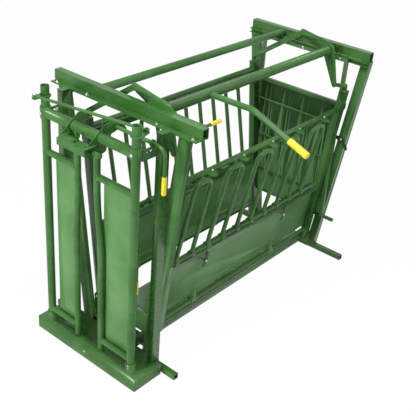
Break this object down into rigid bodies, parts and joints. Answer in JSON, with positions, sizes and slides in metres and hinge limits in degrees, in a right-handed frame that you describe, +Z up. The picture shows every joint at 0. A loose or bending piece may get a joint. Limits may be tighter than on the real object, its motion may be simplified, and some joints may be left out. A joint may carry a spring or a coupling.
{
  "type": "self-catch cattle crush",
  "caption": "Livestock squeeze chute of welded pipe: self-catch head doors, leaning squeeze sides with drop bars and kick panels, and a sliding tail gate.",
  "frame": {"origin": "centre of the whole outline at ground level", "axes": "+X from the head doors to the tail gate, +Y across to the far side, +Z up; the levers are on the -Y side"},
  "size_m": [2.717, 1.8364, 2.0856],
  "materials": {
    "green_enamel": "satin enamel",
    "pan_green": "satin enamel on sheet",
    "yellow_vinyl": "dipped vinyl",
    "dark_steel": "worn dark enamel"
  },
  "bodies": {
    "frame": {"base_tray": "green_enamel", "head_post_near": "green_enamel", "head_post_far": "green_enamel", "head_cross_pipe": "green_enamel", "latch_housing": "green_enamel", "front_beam": "green_enamel", "front_bolting_flat": "green_enamel", "rear_beam": "green_enamel", "gate_track": "green_enamel", "front_upright_near": "green_enamel", "front_upright_far": "green_enamel", "rear_upright_near": "green_enamel", "rear_upright_far": "green_enamel", "front_foot": "green_enamel", "rear_foot": "green_enamel", "floor_frame": "green_enamel", "floor_plate": "green_enamel", "tie_pipe": "green_enamel", "shaft_bearing_front": "green_enamel", "shaft_bearing_rear": "green_enamel"},
    "near_door": {"near_door_frame": "green_enamel", "near_door_pan": "pan_green"},
    "far_door": {"far_door_frame": "green_enamel", "far_door_pan": "pan_green"},
    "sync_rod": {"sync_rod": "green_enamel"},
    "prop_rod": {"prop_rod": "green_enamel", "prop_rod_grip": "yellow_vinyl"},
    "catch_pawl": {"catch_pawl": "green_enamel"},
    "release": {"release_handle": "green_enamel", "release_grip": "yellow_vinyl"},
    "squeeze": {"squeeze_shaft": "green_enamel", "squeeze_lever": "green_enamel", "squeeze_grip": "yellow_vinyl"},
    "near_links": {"near_link_front": "green_enamel", "near_link_rear": "green_enamel"},
    "far_links": {"far_link_front": "green_enamel", "far_link_rear": "green_enamel"},
    "lock_lever": {"lock_lever": "green_enamel", "lock_grip": "yellow_vinyl"},
    "near_panel": {"near_panel_frame": "green_enamel"},
    "far_panel": {"far_panel_frame": "green_enamel"},
    "near_bar_1": {"near_drop_bar_1": "green_enamel"},
    "near_bar_2": {"near_drop_bar_2": "green_enamel"},
    "near_bar_3": {"near_drop_bar_3": "green_enamel"},
    "near_bar_4": {"near_drop_bar_4": "green_enamel"},
    "near_bar_5": {"near_drop_bar_5": "green_enamel"},
    "far_bar_1": {"far_drop_bar_1": "green_enamel"},
    "far_bar_2": {"far_drop_bar_2": "green_enamel"},
    "far_bar_3": {"far_drop_bar_3": "green_enamel"},
    "far_bar_4": {"far_drop_bar_4": "green_enamel"},
    "far_bar_5": {"far_drop_bar_5": "green_enamel"},
    "near_kick": {"near_kick_panel": "pan_green"},
    "far_kick": {"far_kick_panel": "pan_green"},
    "near_front_catch": {"near_catch_front": "dark_steel"},
    "near_rear_catch": {"near_catch_rear": "dark_steel"},
    "far_front_catch": {"far_catch_front": "dark_steel"},
    "far_rear_catch": {"far_catch_rear": "dark_steel"},
    "tail_gate": {"tail_gate": "green_enamel"},
    "gate_hook": {"gate_hook": "dark_steel"}
  },
  "joints": [
    {"name": "near_door_hinge", "type": "hinge", "parent": "frame", "child": "near_door", "pos_m": [-1.2165, -0.20293, 1], "axis": [0, 0, 1], "range_deg": [-10, 50]},
    {"name": "far_door_hinge", "type": "hinge", "parent": "frame", "child": "far_door", "pos_m": [-1.2165, 0.65307, 1], "axis": [0, 0, 1], "range_deg": [-50, 10]},
    {"name": "sync_rod_pivot", "type": "hinge", "parent": "near_door", "child": "sync_rod", "pos_m": [-1.1315, -0.20293, 1.979], "axis": [0, 0, 1], "range_deg": [-54, 11]},
    {"name": "prop_rod_pivot", "type": "hinge", "parent": "near_door", "child": "prop_rod", "pos_m": [-1.1745, -0.20293, 1.12], "axis": [1, 0, 0], "range_deg": [-20, 20]},
    {"name": "release_pivot", "type": "hinge", "parent": "frame", "child": "release", "pos_m": [-1.0845, 0.22507, 1.88], "axis": [0, 1, 0], "range_deg": [0, 30]},
    {"name": "pawl_pivot", "type": "hinge", "parent": "frame", "child": "catch_pawl", "pos_m": [-1.2865, 0.22507, 1.757], "axis": [0, 1, 0], "range_deg": [-12, 0]},
    {"name": "squeeze_shaft_turn", "type": "hinge", "parent": "frame", "child": "squeeze", "pos_m": [0, -0.05493, 1.976], "axis": [1, 0, 0], "range_deg": [0, 25]},
    {"name": "near_link_pivot", "type": "hinge", "parent": "squeeze", "child": "near_links", "pos_m": [0, -0.15493, 1.7], "axis": [1, 0, 0], "range_deg": [-41, 0]},
    {"name": "far_link_pivot", "type": "hinge", "parent": "squeeze", "child": "far_links", "pos_m": [0, 0.21507, 2.06], "axis": [1, 0, 0], "range_deg": [-38, 0]},
    {"name": "lock_lever_pivot", "type": "hinge", "parent": "frame", "child": "lock_lever", "pos_m": [1.28, -0.14993, 1.985], "axis": [-1, 0, 0], "range_deg": [0, 40]},
    {"name": "near_panel_hinge", "type": "hinge", "parent": "frame", "child": "near_panel", "pos_m": [0, -0.08093, 0.2], "axis": [1, 0, 0], "range_deg": [-6, 0]},
    {"name": "far_panel_hinge", "type": "hinge", "parent": "frame", "child": "far_panel", "pos_m": [0, 0.53107, 0.2], "axis": [1, 0, 0], "range_deg": [0, 6]},
    {"name": "near_bar_1_hinge", "type": "hinge", "parent": "near_panel", "child": "near_bar_1", "pos_m": [0, -0.15891, 0.80105], "axis": [1, 0, 0], "range_deg": [0, 110]},
    {"name": "near_bar_2_hinge", "type": "hinge", "parent": "near_panel", "child": "near_bar_2", "pos_m": [0, -0.15891, 0.80105], "axis": [1, 0, 0], "range_deg": [0, 110]},
    {"name": "near_bar_3_hinge", "type": "hinge", "parent": "near_panel", "child": "near_bar_3", "pos_m": [0, -0.15891, 0.80105], "axis": [1, 0, 0], "range_deg": [0, 110]},
    {"name": "near_bar_4_hinge", "type": "hinge", "parent": "near_panel", "child": "near_bar_4", "pos_m": [0, -0.15891, 0.80105], "axis": [1, 0, 0], "range_deg": [0, 110]},
    {"name": "near_bar_5_hinge", "type": "hinge", "parent": "near_panel", "child": "near_bar_5", "pos_m": [0, -0.15891, 0.80105], "axis": [1, 0, 0], "range_deg": [0, 110]},
    {"name": "far_bar_1_hinge", "type": "hinge", "parent": "far_panel", "child": "far_bar_1", "pos_m": [0, 0.60905, 0.80105], "axis": [-1, 0, 0], "range_deg": [0, 110]},
    {"name": "far_bar_2_hinge", "type": "hinge", "parent": "far_panel", "child": "far_bar_2", "pos_m": [0, 0.60905, 0.80105], "axis": [-1, 0, 0], "range_deg": [0, 110]},
    {"name": "far_bar_3_hinge", "type": "hinge", "parent": "far_panel", "child": "far_bar_3", "pos_m": [0, 0.60905, 0.80105], "axis": [-1, 0, 0], "range_deg": [0, 110]},
    {"name": "far_bar_4_hinge", "type": "hinge", "parent": "far_panel", "child": "far_bar_4", "pos_m": [0, 0.60905, 0.80105], "axis": [-1, 0, 0], "range_deg": [0, 110]},
    {"name": "far_bar_5_hinge", "type": "hinge", "parent": "far_panel", "child": "far_bar_5", "pos_m": [0, 0.60905, 0.80105], "axis": [-1, 0, 0], "range_deg": [0, 110]},
    {"name": "near_kick_hinge", "type": "hinge", "parent": "near_panel", "child": "near_kick", "pos_m": [0, -0.08879, 0.26956], "axis": [1, 0, 0], "range_deg": [0, 110]},
    {"name": "far_kick_hinge", "type": "hinge", "parent": "far_panel", "child": "far_kick", "pos_m": [0, 0.53893, 0.26956], "axis": [-1, 0, 0], "range_deg": [0, 110]},
    {"name": "near_front_catch_turn", "type": "hinge", "parent": "near_kick", "child": "near_front_catch", "pos_m": [-0.3845, -0.16013, 0.65599], "axis": [0, -0.9937, -0.1123], "range_deg": [0, 90]},
    {"name": "near_rear_catch_turn", "type": "hinge", "parent": "near_kick", "child": "near_rear_catch", "pos_m": [0.6405, -0.16013, 0.65599], "axis": [0, -0.9937, -0.1123], "range_deg": [0, 90]},
    {"name": "far_front_catch_turn", "type": "hinge", "parent": "far_kick", "child": "far_front_catch", "pos_m": [-0.3845, 0.61027, 0.65599], "axis": [0, 0.9937, -0.1123], "range_deg": [0, 90]},
    {"name": "far_rear_catch_turn", "type": "hinge", "parent": "far_kick", "child": "far_rear_catch", "pos_m": [0.6405, 0.61027, 0.65599], "axis": [0, 0.9937, -0.1123], "range_deg": [0, 90]},
    {"name": "tail_gate_slide", "type": "slide", "parent": "frame", "child": "tail_gate", "axis": [0, 1, 0], "range_m": [0, 0.58]},
    {"name": "gate_hook_turn", "type": "hinge", "parent": "frame", "child": "gate_hook", "pos_m": [1.277, -0.24893, 1.2], "axis": [1, 0, 0], "range_deg": [0, 45]}
  ],
  "couplings": [
    {"joint": "far_door_hinge", "follows": "near_door_hinge", "ratio": -1},
    {"joint": "sync_rod_pivot", "follows": "near_door_hinge", "ratio": -1.065},
    {"joint": "pawl_pivot", "follows": "release_pivot", "ratio": -0.4},
    {"joint": "near_panel_hinge", "follows": "squeeze_shaft_turn", "ratio": -0.2021},
    {"joint": "far_panel_hinge", "follows": "squeeze_shaft_turn", "ratio": 0.22},
    {"joint": "near_link_pivot", "follows": "squeeze_shaft_turn", "ratio": -1.6268},
    {"joint": "far_link_pivot", "follows": "squeeze_shaft_turn", "ratio": -1.4969}
  ]
}
